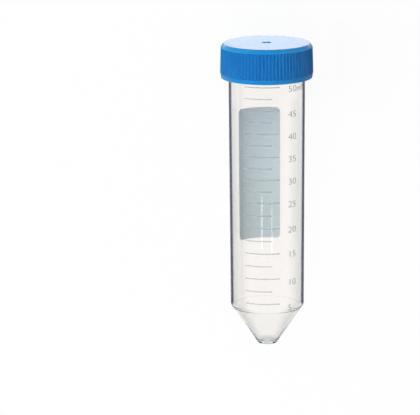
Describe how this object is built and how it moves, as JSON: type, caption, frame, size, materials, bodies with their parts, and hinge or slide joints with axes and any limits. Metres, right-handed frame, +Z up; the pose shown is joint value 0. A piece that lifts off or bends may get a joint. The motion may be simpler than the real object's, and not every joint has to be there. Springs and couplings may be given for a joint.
{
  "type": "conical centrifuge tube",
  "caption": "Clear conical-bottom laboratory tube with a ribbed blue screw cap, a printed volume scale and a grey writing patch, lying on its side.",
  "frame": {"origin": "on the bench under the middle of the whole length, with the closed tube lying on its side", "axes": "+Y along the length towards the cap, +Z up with the printed scale facing up, +X to the right when the scale is read with the cap at the top"},
  "size_m": [0.0346, 0.1156, 0.0347],
  "materials": {
    "clear_pp": "clear moulded polypropylene, glossy and slightly milky",
    "blue_pe": "satin moulded polyethylene",
    "grey_ink": "matt screen-printed ink",
    "dark_ink": "matt screen-printed ink"
  },
  "bodies": {
    "tube": {"tube": "clear_pp", "writing_patch": "grey_ink", "scale_lines": "dark_ink"},
    "cap": {"cap": "blue_pe"}
  },
  "joints": [
    {"name": "cap_lift", "type": "slide", "parent": "tube", "child": "cap", "axis": [0, 0.9992, 0.0397], "range_m": [0, 0.04]}
  ]
}
